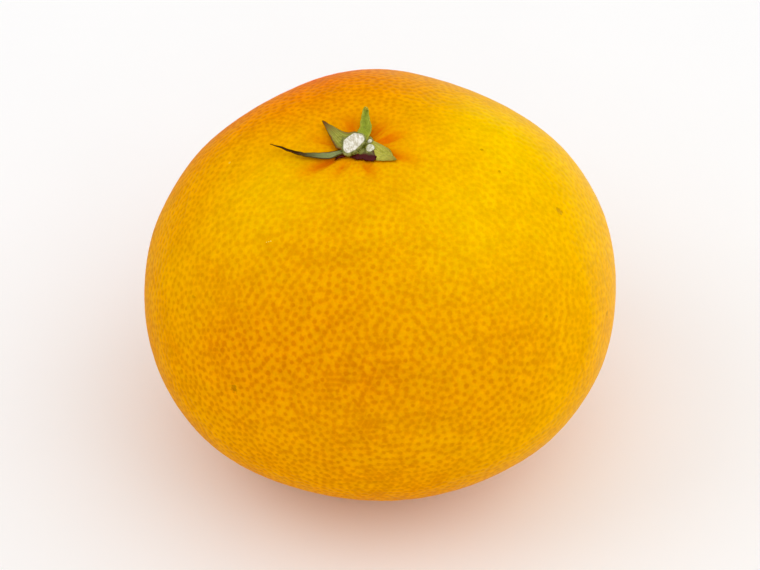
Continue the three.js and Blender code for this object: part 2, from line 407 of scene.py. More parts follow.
def makePeel(material):
    skin = peelSkin
    draws = np.random.default_rng(skin["seed"])
    ways, faces = splitIcosahedron(skin["meshSteps"])
    polar = np.arccos(np.clip(ways[:, 2], -1, 1))
    azimuth = np.arctan2(ways[:, 1], ways[:, 0])
    crowd = skin["crownCrowding"] * np.exp(-(polar / skin["crownReach"]) ** 2)
    points = peelPoints(math.pi / 2 - polar * (1 - crowd), azimuth)
    normals, areas = normalsAndAreas(points, faces)
    radius = np.hypot(points[:, 0], points[:, 1])
    around = np.arctan2(points[:, 1], points[:, 0])
    upper = points[:, 2] > 0
    nearStalk = (1 - smoothstep(radius, *skin["crownPores"])) * upper
    spacing = mixed(skin["poreSpacing"], skin["crownPoreSpacing"], nearStalk)
    print("peel mesh:", len(points), "points,", len(faces), "faces")

    pores = scatterPores(points, areas, spacing, draws)
    owner = nearestOf(points, pores)
    size = draws.uniform(*skin["poreSizes"], len(pores))[owner] * spacing / skin["poreSpacing"]
    tone = draws.uniform(*skin["poreTones"], len(pores))[owner]
    offset = points - pores[owner]
    away = np.linalg.norm(offset, axis=1)
    poreRadius = skin["poreRadius"] * size
    print("oil glands:", len(pores))

    lines = wrinkleLines(radius, around) * upper
    relief = -skin["pitDepth"] * size * np.exp(-(away / (skin["pitWidth"] * size)) ** 2)
    relief -= crownWrinkles["depth"] * lines
    relief += wavesOf(points, skin["waves"], draws)
    shaped = settled(points + normals * relief[:, None])
    made = makeObject("peel", placed(shaped), faces, material)

    fade = skin["crownFade"] * (1 - smoothstep(radius, *skin["crownFades"])) * upper
    addNumbers(made, "poreOffset", leaned(offset / poreRadius[:, None]))
    addNumbers(made, "poreReach", skin["poreReach"] * away / poreRadius)
    addNumbers(made, "poreTone", tone * (1 - fade))
    # Ripeness, where the riper, darker skin is partly painted shade.
    addNumbers(made, "ripenessAndShade", ripenessAndShadeOf(leaned(points), draws))
    # Red on the far left shoulder, partly blush and partly a painted red reflection.
    addNumbers(made, "blushAndReflection", blushAndReflectionOf(leaned(points), draws))
    # Painted shade in the stalk hollow, darker on its right side, in the folds and in the wrinkles.
    shadePaint = crownShadePaint
    hollow = np.exp(-(radius / shadePaint["hollowRadius"]) ** 2) * upper
    folds = np.clip(foldDepth(radius, around) / shadePaint["fullFold"], 0, 1) * upper
    shadedSide = hollow * np.maximum(0, np.cos(around - shadePaint["towards"]))
    shade = shadePaint["hollow"] * hollow + shadePaint["shadedSide"] * shadedSide + shadePaint["folds"] * folds
    shade += shadePaint["lines"] * lines
    addNumbers(made, "crownShade", np.clip(shade, 0, 1))
    return made


# The calyx. Plan points are counted from the fruit's core.
buttonForm = {
    "centre": (0.0, 0.25), "radius": 2.7, "lobes": [(5, 0.05, 0.6), (8, 0.03, 2.0)],
    "rimHeight": 0.55, "topHeight": 1.05, "roundness": 2.4, "sunk": 0.2,
    "wrinkles": 17, "wrinkleHeight": 0.05,
    "tear": 0.32, "tearAt": math.radians(246), "tearWide": math.radians(38),
    "rings": 18, "sides": 96, "rough": 0.02, "seed": 31,
}

# Each path point is x, y and lift above the peel, with the width there. The dry edges are left and right
# of the way the sepal grows.
sepalForms = {
    "sepalFar": {
        "path": [(0.5, 1.0, 0.75), (1.3, 2.8, 0.55), (1.35, 4.1, 1.0), (1.5, 5.2, 1.5), (1.65, 5.5, 1.95)],
        "widths": [2.2, 1.75, 1.25, 0.95, 0.42], "cup": 0.25, "keel": 0.2, "roll": 0, "thickness": 0.42,
        "waver": 0.05, "ragged": 0.1,
        "leaf": (0.30, 0.36, 0.022), "vein": (0.46, 0.48, 0.07), "edge": (0.52, 0.40, 0.04),
        "dryTip": 0.30, "dryEdges": (0.5, 0.2), "specks": 0.15, "seed": 11,
    },
    "sepalFarLeft": {
        "path": [(-0.4, -0.2, 0.7), (-1.2, 0.8, 0.55), (-2.1, 1.65, 0.45), (-3.3, 3.2, 0.6),
                 (-4.5, 4.75, 0.8)],
        "widths": [3.0, 3.8, 2.9, 1.35, 0.15], "cup": 0.45, "keel": 0.1, "roll": 0, "thickness": 0.42,
        "waver": 0.10, "ragged": 0.12,
        "leaf": (0.33, 0.32, 0.038), "vein": (0.56, 0.53, 0.15), "edge": (0.20, 0.065, 0.012),
        "dryTip": 0.42, "dryEdges": (1.0, 0.8), "specks": 0.45, "seed": 12,
    },
    "sepalLeft": {
        "path": [(-1.3, -0.8, 0.6), (-3.0, -1.4, 0.45), (-5.0, -1.72, 0.4), (-7.0, -1.5, 0.5),
                 (-8.9, -0.6, 0.75), (-10.3, 0.35, 0.95), (-11.6, 1.2, 1.0)],
        "widths": [1.2, 0.95, 1.15, 0.85, 0.5, 0.3, 0.1], "cup": 0.22, "keel": 0.22, "roll": 38,
        "thickness": 0.30, "waver": 0.06, "ragged": 0.05,
        "leaf": (0.26, 0.30, 0.10), "vein": (0.44, 0.48, 0.24), "edge": (0.07, 0.020, 0.003),
        "dryTip": 0.92, "dryEdges": (0.9, 1.0), "specks": 0.3, "seed": 13,
    },
    "sepalNearRight": {
        "path": [(0.6, -0.1, 0.7), (1.9, -0.8, 0.5), (3.1, -1.75, 0.28), (4.2, -2.75, 0.2),
                 (5.45, -3.75, 0.25)],
        "widths": [3.0, 3.3, 3.0, 2.1, 0.2], "cup": -0.12, "keel": -0.1, "roll": 0, "thickness": 0.42,
        "waver": 0.07, "ragged": 0.1,
        "leaf": (0.45, 0.42, 0.045), "vein": (0.60, 0.55, 0.13), "edge": (0.32, 0.20, 0.018),
        "dryTip": 0.25, "dryEdges": (0.55, 0.3), "specks": 0.7, "seed": 14,
    },
    # This sepal's dark red-brown torn end is partly its own torn edge and partly painted shadow in the gap
    # under the button's front.
    "sepalNearBroken": {
        "path": [(0.6, -0.5, 0.6), (0.3, -1.3, 0.5), (0.05, -2.0, 0.42), (-0.1, -2.65, 0.28)],
        "widths": [4.0, 5.0, 5.6, 5.8], "cup": 0.05, "keel": 0.0, "roll": 0, "thickness": 0.5,
        "waver": 0.06, "ragged": 0.32, "notch": (-0.32, 0.38, 0.75),
        "leaf": (0.20, 0.20, 0.06), "vein": (0.30, 0.29, 0.12), "edge": (0.095, 0.011, 0.014),
        "dryTip": 0.95, "dryEdges": (0.8, 0.8), "specks": 0.6, "seed": 15,
    },
}

stalkForm = {
    "centre": (-0.28, -0.36), "seat": 0.72, "topRadius": 1.52, "flare": 0.74, "height": 1.05,
    "towardFront": 0.40, "towardLeft": 0.1,
    "ridges": [(2, 0.19, 62), (3, 0.05, 20), (5, 0.035, 60), (9, 0.02, 10)],
    "rings": 22, "sides": 110, "rough": 0.05, "seed": 21, "tiltRight": 0,
}
scarForms = {
    "budScarLarge": {
        "centre": (1.85, -1.2), "seat": 0.66, "topRadius": 0.62, "flare": 1.3, "height": 0.62,
        "towardFront": 0.4, "towardLeft": -0.25, "ridges": [(2, 0.12, 70), (3, 0.06, 10)],
        "rings": 10, "sides": 48, "rough": 0.03, "seed": 22, "tiltRight": 14,
    },
    "budScarSmall": {
        "centre": (1.8, 0.35), "seat": 0.5, "topRadius": 0.34, "flare": 1.5, "height": 0.6,
        "towardFront": 0.4, "towardLeft": 0.0, "ridges": [(2, 0.15, 20)],
        "rings": 7, "sides": 36, "rough": 0.02, "seed": 23, "tiltRight": 10,
    },
}

tiny = 1e-6
crownLevel = float(crownHeight(np.array([0.0]), np.array([tiny]))[0])


def ringFaces(rings, sides):
    faces = []
    for ring in range(rings - 1):
        for k in range(sides):
            a, b = ring * sides + k, ring * sides + (k + 1) % sides
            faces.append((a, a + sides, b + sides, b))
    return faces


def weldedPiece(name, points, faces, material, draws, rough):
    # Joins points that lie together, such as a closed end, and roughens the rest a little.
    points = np.asarray(points, float)
    _, first, back = np.unique(np.round(points, 5), axis=0, return_index=True, return_inverse=True)
    back = back.reshape(-1)
    whole = []
    for face in faces:
        corners = tuple(dict.fromkeys(back[list(face)].tolist()))
        if len(corners) > 2:
            whole.append(corners)
    joined = points[first]
    joined = joined + rough * np.stack([slowWaves(joined, 0.9, draws) for _ in range(3)], axis=1)
    return makeObject(name, placed(joined), whole, material), first


def makeButton(material):
    form = buttonForm
    draws = np.random.default_rng(form["seed"])
    share = np.linspace(0, 1, form["rings"])
    turn = np.linspace(0, 2 * math.pi, form["sides"], endpoint=False)
    outline = np.ones_like(turn)
    for count, amount, at in form["lobes"]:
        outline += amount * np.cos(count * turn + at)
    outline -= form["tear"] * np.exp(-((turn - form["tearAt"]) / form["tearWide"]) ** 2)
    points = []
    for side in (1, -1):
        for s in share if side == 1 else share[-2::-1]:
            x = form["centre"][0] + form["radius"] * s * outline * np.cos(turn)
            y = form["centre"][1] + form["radius"] * s * outline * np.sin(turn)
            ground = crownHeight(x, y + tiny)
            if side == 1:
                flat = s ** form["roundness"]
                dome = form["topHeight"] * (1 - flat) + form["rimHeight"] * flat * math.sqrt(1 - s ** 9)
                wrinkle = form["wrinkleHeight"] * np.cos(form["wrinkles"] * turn + 3 * s) * s
                z = mixed(crownLevel, ground, s ** 2) + dome + wrinkle
            else:
                z = ground - form["sunk"] * (1 - s ** 6)
            points.append(np.stack([x, y, z], axis=1))
    faces = ringFaces(len(points), form["sides"])
    return weldedPiece("calyxButton", np.concatenate(points), faces, material, draws, form["rough"])[0]


def smoothPath(values, along):
    # Curve through evenly spaced values, as a chain of soft arcs.
    values = np.asarray(values, float)
    place = np.clip(along, 0, 1) * (len(values) - 1)
    start = np.minimum(place.astype(int), len(values) - 2)
    share = place - start
    before, after = np.maximum(start - 1, 0), np.minimum(start + 2, len(values) - 1)
    if values.ndim == 2:
        share = share[:, None]
    leave = (values[start + 1] - values[before]) / 2
    arrive = (values[after] - values[start]) / 2
    rest = 1 - share
    return (values[start] * (1 + 2 * share) * rest ** 2 + leave * share * rest ** 2
            + values[start + 1] * (3 - 2 * share) * share ** 2 - arrive * rest * share ** 2)


# How every sepal's mesh is split, how far its torn end reaches back, and the height of its ribs and grain.
bladeForm = {
    "alongSteps": 90, "acrossSteps": 30, "tornFrom": 0.55, "ribs": 13, "ribHeight": 0.022,
    "grainLength": 0.7, "grainHeight": 0.02, "rough": 0.03,
}


def bladeMiddle(form, along, across):
    nudge = 0.004
    middle = smoothPath(form["path"], along)
    way = smoothPath(form["path"], along + nudge) - smoothPath(form["path"], np.clip(along - nudge, 0, 1))
    way = way[:, :2] / np.linalg.norm(way[:, :2], axis=1)[:, None]
    waver = 1 + form["waver"] * np.sin(9 * along + form["seed"]) * np.sin(math.pi * along)
    width = smoothPath(form["widths"], along) * waver / 2
    teeth = np.sin(7 * across + form["seed"]) + 0.6 * np.sin(17 * across) + 0.4 * np.sin(31 * across)
    torn = form["ragged"] * smoothstep(along, bladeForm["tornFrom"], 1.0) * teeth / 2
    if "notch" in form:
        at, wide, deep = form["notch"]
        torn = torn - deep * np.exp(-((across - at) / wide) ** 2) * along
    roll = math.radians(form["roll"]) * along
    aside = across * width * np.cos(roll)
    x = middle[:, 0] - way[:, 1] * aside + way[:, 0] * torn
    y = middle[:, 1] + way[:, 0] * aside + way[:, 1] * torn
    bulge = np.sin(math.pi * np.minimum(1, along + 0.25))
    lift = middle[:, 2] + across * width * np.sin(roll) * 0.6 + form["cup"] * across ** 2 * bulge
    lift = lift - form["keel"] * (1 - np.abs(across)) * np.sin(math.pi * along) * 0.6
    return np.stack([x, y, crownHeight(x, y) + lift], axis=1)


def makeSepal(name, form, material):
    draws = np.random.default_rng(form["seed"])
    alongSteps, acrossSteps = bladeForm["alongSteps"], bladeForm["acrossSteps"]
    along, across = np.meshgrid(np.linspace(0, 1, alongSteps), np.linspace(-1, 1, acrossSteps), indexing="ij")
    along, across = along.ravel(), across.ravel()
    middle = bladeMiddle(form, along, across)
    nudge = 0.01
    ahead = bladeMiddle(form, np.minimum(1, along + nudge), across)
    ahead -= bladeMiddle(form, np.maximum(0, along - nudge), across)
    aside = bladeMiddle(form, along, across + nudge) - bladeMiddle(form, along, across - nudge)
    normal = np.cross(ahead, aside)
    normal /= np.linalg.norm(normal, axis=1)[:, None]
    body = np.sqrt(np.clip(1 - across ** 4, 0, 1)) * np.sqrt(np.clip(1 - along ** 6, 0, 1))
    half = form["thickness"] / 2 * (0.12 + 0.88 * body) * mixed(1.0, 0.55, along)
    # The margin has no thickness, so that the two sides close there.
    edge = (np.abs(across) > 0.999) | (along > 0.999) | (along < 0.001)
    half = np.where(edge, 0.0, half)
    ribs = bladeForm["ribHeight"] * np.cos(across * bladeForm["ribs"]) * np.sin(math.pi * along)
    ribs += bladeForm["grainHeight"] * slowWaves(middle, bladeForm["grainLength"], draws)
    top = middle + normal * (half + np.where(edge, 0.0, ribs * body))[:, None]
    bottom = middle - normal * half[:, None]
    count = len(along)
    points = np.concatenate([top, bottom])
    faces = []
    for i in range(alongSteps - 1):
        for j in range(acrossSteps - 1):
            a = i * acrossSteps + j
            b, c, d = a + acrossSteps, a + acrossSteps + 1, a + 1
            faces.append((a, b, c, d))
            faces.append((a + count, d + count, c + count, b + count))
    made, first = weldedPiece(name, points, faces, material, draws, bladeForm["rough"])
    addNumbers(made, "along", np.concatenate([along, along])[first])
    addNumbers(made, "across", np.concatenate([across, across])[first])
    return made


# The rounded edge of every cut face, its low dome and the rings below it.
stumpForm = {
    "edgeDrop": 0.10, "edgeStart": 0.86, "dome": 0.05, "sideRings": 12, "foot": -0.6, "flutes": 13,
    "fluteDepth": 0.02, "grainLength": 0.5, "grainEnd": 0.85, "rough": 0.015,
}


def makeStump(name, form, material):
    draws = np.random.default_rng(form["seed"])
    turn = np.linspace(0, 2 * math.pi, form["sides"], endpoint=False)
    outline = np.ones_like(turn)
    for count, share, at in form["ridges"]:
        outline += share * np.cos(count * turn - math.radians(at))
    points, cut = [], []

    def addRing(grow, levelOf, share):
        x = form["topRadius"] * grow * outline * np.cos(turn)
        y = form["topRadius"] * grow * outline * np.sin(turn)
        slope = form["height"] + form["towardFront"] * y + form["towardLeft"] * x
        points.append(np.stack([x, y, levelOf(slope)], axis=1))
        cut.append(np.full_like(turn, share))

    for s in np.linspace(0, 1, form["rings"]):
        drop = stumpForm["edgeDrop"] * smoothstep(s, stumpForm["edgeStart"], 1.0)
        rise = stumpForm["dome"] * (1 - s ** 2) - drop
        addRing(s, lambda slope: slope + rise, s)
    for s in np.linspace(0, 1, stumpForm["sideRings"])[1:]:
        grow = 1 + (form["flare"] - 1) * s ** 2 + stumpForm["fluteDepth"] * np.cos(stumpForm["flutes"] * turn)
        addRing(grow, lambda slope: mixed(slope - stumpForm["edgeDrop"], stumpForm["foot"], s), 1 + s)
    closing = points[-1].copy()
    closing[:, :2] = closing[:, :2].mean(axis=0)
    points.append(closing)
    cut.append(np.full_like(turn, 2.0))

    # The faces start one corner on from ringFaces, which keeps the way the cut face is split.
    faces = [face[1:] + face[:1] for face in ringFaces(len(points), form["sides"])]
    points = np.concatenate(points)
    cut = np.concatenate(cut)
    points[:, 0] += form["centre"][0] + math.tan(math.radians(form["tiltRight"])) * points[:, 2]
    points[:, 1] += form["centre"][1]
    points[:, 2] += crownLevel + form["seat"]
    grain = form["rough"] * slowWaves(points, stumpForm["grainLength"], draws)
    points[:, 2] += np.where(cut < stumpForm["grainEnd"], grain, 0)
    made, first = weldedPiece(name, points, faces, material, draws, stumpForm["rough"])
    addNumbers(made, "cutShare", cut[first])
    return made


# Shader building blocks

nodeGap = (200, -180)


def feed(node, values):
    # A value is a number, a colour, a socket, or a node whose first live outlet is meant.
    for name, value in values.items():
        if isinstance(value, bpy.types.Node):
            value = next(outlet for outlet in value.outputs if outlet.enabled)
        if isinstance(value, bpy.types.NodeSocket):
            node.id_data.links.new(value, node.inputs[name])
        else:
            node.inputs[name].default_value = value
    return node


def newNode(tree, kind, place, values=None, **settings):
    node = tree.nodes.new("ShaderNode" + kind)
    node.location = (place[0] * nodeGap[0], place[1] * nodeGap[1])
    for name, value in settings.items():
        setattr(node, name, value)
    return feed(node, values or {})


def calc(tree, place, operation, *terms):
    return newNode(tree, "Math", place, dict(enumerate(terms)), operation=operation)


def ramp(tree, place, value, low, high, start=0.0, end=1.0, kind="LINEAR"):
    ends = {"Value": value, "From Min": low, "From Max": high, "To Min": start, "To Max": end}
    return newNode(tree, "MapRange", place, ends, interpolation_type=kind)


def mixColour(tree, place, share, low, high):
    values = {0: share}
    for inlet, colour in ((6, low), (7, high)):
        values[inlet] = (*colour, 1) if isinstance(colour, tuple) else colour
    return newNode(tree, "Mix", place, values, data_type="RGBA")


def shadedBy(tree, place, colour, shade):
    return newNode(tree, "VectorMath", place, {0: colour, "Scale": shade}, operation="SCALE")


def addBump(tree, shader, height, strength, distance):
    values = {"Height": height, "Strength": strength, "Distance": distance}
    feed(shader, {"Normal": newNode(tree, "Bump", (4, 3), values)})


def newGroup(name, inlets, outlets):
    group = bpy.data.node_groups.new(name, "ShaderNodeTree")
    for label, kind, value in inlets:
        socket = group.interface.new_socket(label, in_out="INPUT", socket_type="NodeSocket" + kind)
        if value is not None:
            socket.default_value = value
    for label in outlets:
        group.interface.new_socket(label, in_out="OUTPUT", socket_type="NodeSocketFloat")
    start = group.nodes.new("NodeGroupInput")
    end = group.nodes.new("NodeGroupOutput")
    start.location = (-900, 0)
    end.location = (900, 0)
    return group, start.outputs, end


def placedGroup(tree, group, place, values):
    return newNode(tree, "Group", place, values, node_tree=group)


def buildTissueGrain():
    # Two sizes of soft grain. Shade is around 1 for colours, Height is 0 to 1 for relief.
    group, given, end = newGroup(
        "tissueGrain",
        [("Vector", "Vector", None), ("Coarse", "Float", 900.0), ("Fine", "Float", 4000.0),
         ("Contrast", "Float", 0.1)],
        ["Shade", "Height"])
    coarse = newNode(group, "TexNoise", (-3, -1), {
        "Vector": given["Vector"], "Scale": given["Coarse"], "Detail": 2.0, "Roughness": 0.5})
    fine = newNode(group, "TexNoise", (-3, 1), {
        "Vector": given["Vector"], "Scale": given["Fine"], "Detail": 3.0, "Roughness": 0.6})
    both = newNode(group, "Mix", (-1, 0), {"Factor": 0.5, 2: coarse, 3: fine})
    low = calc(group, (0, -1), "SUBTRACT", 1.0, given["Contrast"])
    high = calc(group, (0, 1), "ADD", 1.0, given["Contrast"])
    feed(end, {"Shade": ramp(group, (2, 0), both, 0.3, 0.7, low, high), "Height": both})
    return group


def buildSpecks():
    # Small irregular dark flecks; Cover is how much of the surface they take.
    group, given, end = newGroup(
        "specks", [("Vector", "Vector", None), ("Scale", "Float", 1500.0), ("Cover", "Float", 0.3)], ["Mask"])
    noise = newNode(group, "TexNoise", (-3, 0), {
        "Vector": given["Vector"], "Scale": given["Scale"], "Detail": 2.0, "Roughness": 0.55,
        "Distortion": 0.4})
    edge = ramp(group, (-2, 1), given["Cover"], 0.0, 1.0, 0.80, 0.58)
    over = calc(group, (-1, 0), "SUBTRACT", noise, edge)
    feed(end, {"Mask": ramp(group, (0, 0), over, 0.0, 0.06)})
    return group


def buildSpot():
    # One soft-edged blemish around a place on the skin.
    group, given, end = newGroup(
        "skinSpot",
        [("Vector", "Vector", None), ("Centre", "Vector", None), ("Radius", "Float", 0.0005),
         ("Ragged", "Float", 0.0003)],
        ["Mask"])
    away = newNode(group, "VectorMath", (-3, 0), {0: given["Vector"], 1: given["Centre"]},
                   operation="DISTANCE")
    noise = newNode(group, "TexNoise", (-3, 1), {"Vector": given["Vector"], "Scale": 2600.0, "Detail": 2.0})
    centred = calc(group, (-2, 1), "SUBTRACT", noise, 0.5)
    ragged = calc(group, (-1, 1), "MULTIPLY", centred, given["Ragged"])
    total = calc(group, (0, 0), "ADD", away, ragged)
    share = calc(group, (1, 0), "DIVIDE", total, given["Radius"])
    feed(end, {"Mask": ramp(group, (2, 0), share, 1.15, 0.6, kind="SMOOTHSTEP")})
    return group


def newMaterial(name, values):
    material = bpy.data.materials.new(name)
    material.use_nodes = True
    tree = material.node_tree
    tree.nodes.clear()
    shader = newNode(tree, "BsdfPrincipled", (6, 0), values)
    newNode(tree, "OutputMaterial", (8, 0), {"Surface": shader})
    where = newNode(tree, "TexCoord", (-9, 0)).outputs["Object"]
    return material, tree, shader, where


def numbersOf(tree, name, place, outlet="Fac"):
    return newNode(tree, "Attribute", place, attribute_name=name).outputs[outlet]


# Colours of the peel, and where its dots end. The edges are counted in dot radii from a gland's middle.
peelFinish = {
    "paleSkin": (0.935, 0.575, 0.001),
    # Riper skin colour, darker, partly painted shade.
    "ripeShadedSkin": (0.875, 0.340, 0.0003),
    "paleGland": (0.905, 0.522, 0.001),
    # Paler ridge tint: partly the ridges' own colour, partly a painted highlight.
    "ridgeTintAndHighlight": (1.025, 1.10, 1.0),
    # Riper gland colour, partly painted shade.
    "ripeShadedGland": (0.715, 0.223, 0.0002),
    # Colour of the painted shade in the crown's hollow, folds and wrinkles, partly a deeper orange of the
    # peel.
    "foldShadeColour": (0.80, 0.19, 0.0005),
    # Colours of the red shoulder, partly blush and partly a painted red reflection.
    "blushAndReflectionSkin": (0.96, 0.20, 0.0005),
    "blushAndReflectionGland": (0.84, 0.12, 0.0004),
    "spotColour": (0.44, 0.17, 0.010),
    "scarColour": (0.95, 0.72, 0.16),
    "dotEdge": (1.54, 0.80),
    "ridgeEdge": (1.35, 2.05),
    "pitEdge": 1.6,
    "wobble": 0.6,
    "wobbleScale": 2300.0,
    "roughness": (0.40, 0.52),
    "grainRelief": 0.35,
}

# Small marks on the skin: azimuth and latitude in degrees around the core, radius in millimetres, strength.
skinMarks = [
    (233, 14, 0.75, 0.75), (212, 29, 0.4, 0.4), (350, 31, 0.7, 0.5), (3, 55, 0.35, 0.55),
    (353, 50, 0.3, 0.45), (17, 57, 0.25, 0.4), (320, 20, 0.35, 0.45), (341, 3, 0.5, 0.6),
    (40, 10, 0.6, 0.6), (120, -12, 0.45, 0.5), (165, 22, 0.4, 0.5), (75, 30, 0.3, 0.5),
    (0, -90, 1.0, 0.9),
]
paleScars = [
    (175, 53, 0.28, 0.5), (228, 51.0, 0.16, 0.6), (228.8, 51.4, 0.16, 0.6), (229.6, 51.8, 0.16, 0.6),
]
markShape = {"core": 0.8, "ragged": 1.7}  # shares of a mark's radius


def marksMask(tree, where, spot, marks, row):
    mask = 0.0
    for n, (azimuth, latitude, radius, strength) in enumerate(marks):
        centre = placed(settled(peelPoints(*np.radians([[latitude], [azimuth]]))))[0]
        mark = placedGroup(tree, spot, (-4, row + n), {
            "Vector": where, "Centre": tuple(centre), "Radius": radius * mm * markShape["core"],
            "Ragged": radius * mm * markShape["ragged"]})
        weak = calc(tree, (-3, row + n), "MULTIPLY", mark, strength)
        mask = calc(tree, (-2, row + n), "MAXIMUM", mask, weak)
    return mask


def peelMaterial(grain, spot):
    finish = peelFinish
    material, tree, shader, where = newMaterial("peelSkin", {
        "IOR": 1.40, "Specular IOR Level": 0.06, "Specular Tint": (1.0, 0.6, 0.1, 1.0),
        "Subsurface Weight": 0.08, "Subsurface Radius": (1.0, 0.35, 0.05), "Subsurface Scale": 0.0012,
    })
    offset = numbersOf(tree, "poreOffset", (-9, 2), "Vector")
    reach, tone, ripeAndShaded, crown, blushAndReflection = (
        numbersOf(tree, name, (-9, 3 + n))
        for n, name in enumerate(["poreReach", "poreTone", "ripenessAndShade", "crownShade", "blushAndReflection"]))
    length = newNode(tree, "VectorMath", (-8, 2), {0: offset}, operation="LENGTH")
    apart = calc(tree, (-7, 2), "MAXIMUM", length, reach)
    wobble = newNode(tree, "TexNoise", (-8, 1), {
        "Vector": where, "Scale": finish["wobbleScale"], "Detail": 2.0})
    uneven = calc(tree, (-7, 1), "MULTIPLY_ADD", wobble, finish["wobble"], apart)
    dot = ramp(tree, (-6, 2), uneven, *finish["dotEdge"], kind="SMOOTHSTEP")
    dotTone = calc(tree, (-5, 2), "MULTIPLY", dot, tone)

    mottle = placedGroup(tree, grain, (-7, -1), {
        "Vector": where, "Coarse": 420.0, "Fine": 2600.0, "Contrast": 0.10})
    height = mottle.outputs["Height"]
    # Ripeness mixes in the riper, darker colours, which are partly painted shade.
    skin = mixColour(tree, (-4, 0), ripeAndShaded, finish["paleSkin"], finish["ripeShadedSkin"])
    gland = mixColour(tree, (-4, 1), ripeAndShaded, finish["paleGland"], finish["ripeShadedGland"])
    # The red shoulder colour is partly blush, partly a painted reflection of red light.
    redSkin = mixColour(tree, (-4, 2), blushAndReflection, skin, finish["blushAndReflectionSkin"])
    redGland = mixColour(tree, (-4, 3), blushAndReflection, gland, finish["blushAndReflectionGland"])
    # The skin is paler on the ridges between the glands: partly the peel's own paler network, partly a
    # painted highlight.
    ridge = ramp(tree, (-6, 4), uneven, *finish["ridgeEdge"], kind="SMOOTHSTEP")
    paler = newNode(tree, "VectorMath", (-4, 4), {0: redSkin, 1: finish["ridgeTintAndHighlight"]}, operation="MULTIPLY")
    ridged = mixColour(tree, (-3, 2), ridge, redSkin, paler)
    dotted = mixColour(tree, (-3, 0), dotTone, ridged, redGland)
    # The fold colour is painted shade in the crown's hollow, folds and wrinkles.
    foldShaded = mixColour(tree, (-2, 0), crown, dotted, finish["foldShadeColour"])
    shaded = shadedBy(tree, (-1, 0), foldShaded, mottle)

    marks = marksMask(tree, where, spot, skinMarks, 4)
    scars = marksMask(tree, where, spot, paleScars, 20)
    spotted = mixColour(tree, (1, 0), marks, shaded, finish["spotColour"])
    scarred = mixColour(tree, (2, 0), scars, spotted, finish["scarColour"])
    rough = ramp(tree, (3, 1), height, 0.3, 0.7, *finish["roughness"])
    feed(shader, {"Base Color": scarred, "Roughness": rough})
    pit = ramp(tree, (-5, 3), apart, finish["pitEdge"], 0.0, 1.0, 0.0, kind="SMOOTHSTEP")
    relief = calc(tree, (2, 3), "MULTIPLY_ADD", height, finish["grainRelief"], pit)
    addBump(tree, shader, relief, 0.35, 0.00005)
    return material


sepalFinish = {
    "veins": 22.0,
    "veinSway": 5.0,
    "veinColour": 0.42,
    "veinRelief": 0.4,
    "ragged": 0.5,
    "dryEdge": (0.96, 1.24),
    "dryTipLength": 0.3,
    "fleck": (0.05, 0.022, 0.006),
}


def sepalMaterial(name, form, grain, specks):
    finish = sepalFinish
    material, tree, shader, where = newMaterial(name + "Tissue", {
        "Roughness": 0.62, "IOR": 1.40, "Subsurface Weight": 0.05,
        "Subsurface Radius": (0.6, 1.0, 0.2), "Subsurface Scale": 0.0004})
    along = numbersOf(tree, "along", (-9, 2))
    across = numbersOf(tree, "across", (-9, 3))
    mottle = placedGroup(tree, grain, (-7, -1), {
        "Vector": where, "Coarse": 1800.0, "Fine": 6500.0, "Contrast": 0.35})
    height = mottle.outputs["Height"]
    # Veins run from root to tip, fanned a little by the grain.
    fan = calc(tree, (-7, 3), "MULTIPLY", across, finish["veins"])
    sway = calc(tree, (-6, 3), "MULTIPLY_ADD", height, finish["veinSway"], fan)
    vein = ramp(tree, (-4, 3), calc(tree, (-5, 3), "SINE", sway), 0.2, 1.0)
    veinSoft = calc(tree, (-3, 3), "MULTIPLY", vein, finish["veinColour"])
    veined = mixColour(tree, (-3, 0), veinSoft, form["leaf"], form["vein"])
    # Dry margin and tip, ragged by the grain.
    side = calc(tree, (-7, 5), "ABSOLUTE", across)
    sideRagged = calc(tree, (-6, 5), "MULTIPLY_ADD", height, finish["ragged"], side)
    sideEdge = ramp(tree, (-5, 5), sideRagged, *finish["dryEdge"])
    leftEdge, rightEdge = form["dryEdges"]
    whichSide = ramp(tree, (-6, 4), across, -0.5, 0.5, rightEdge, leftEdge)
    sideMask = calc(tree, (-4, 4), "MULTIPLY", sideEdge, whichSide)
    tipRagged = calc(tree, (-6, 6), "MULTIPLY_ADD", height, finish["ragged"], along)
    tipStart = 1.2 - 0.75 * form["dryTip"]
    tipMask = ramp(tree, (-5, 6), tipRagged, tipStart, tipStart + finish["dryTipLength"])
    dry = calc(tree, (-4, 5), "MAXIMUM", sideMask, tipMask)
    dried = mixColour(tree, (-2, 0), dry, veined, form["edge"])
    fleck = placedGroup(tree, specks, (-4, 7), {"Vector": where, "Scale": 2300.0, "Cover": form["specks"]})
    flecked = mixColour(tree, (-1, 0), fleck, dried, finish["fleck"])
    feed(shader, {"Base Color": shadedBy(tree, (1, 0), flecked, mottle)})
    relief = calc(tree, (2, 3), "MULTIPLY_ADD", vein, finish["veinRelief"], height)
    addBump(tree, shader, relief, 0.6, 0.00006)
    return material


stalkFinish = {
    "pith": (0.90, 0.87, 0.78),
    "pithShade": (0.66, 0.60, 0.44),
    "bark": (0.15, 0.17, 0.03),
    "barkPale": (0.34, 0.34, 0.11),
    "barkDark": (0.035, 0.032, 0.010),
}
scarFinish = {
    "pith": (0.78, 0.76, 0.62),
    "pithShade": (0.50, 0.48, 0.30),
    "bark": (0.20, 0.21, 0.05),
    "barkPale": (0.40, 0.39, 0.15),
    "barkDark": (0.06, 0.05, 0.015),
}
# How the grain runs and shows on a cut face, and the share of its radius where the bark starts.
fibreForm = {
    "turn": math.radians(38), "squeeze": 0.28, "streak": (0.44, 0.58), "rimRagged": 0.12, "rim": (0.87, 0.95),
}


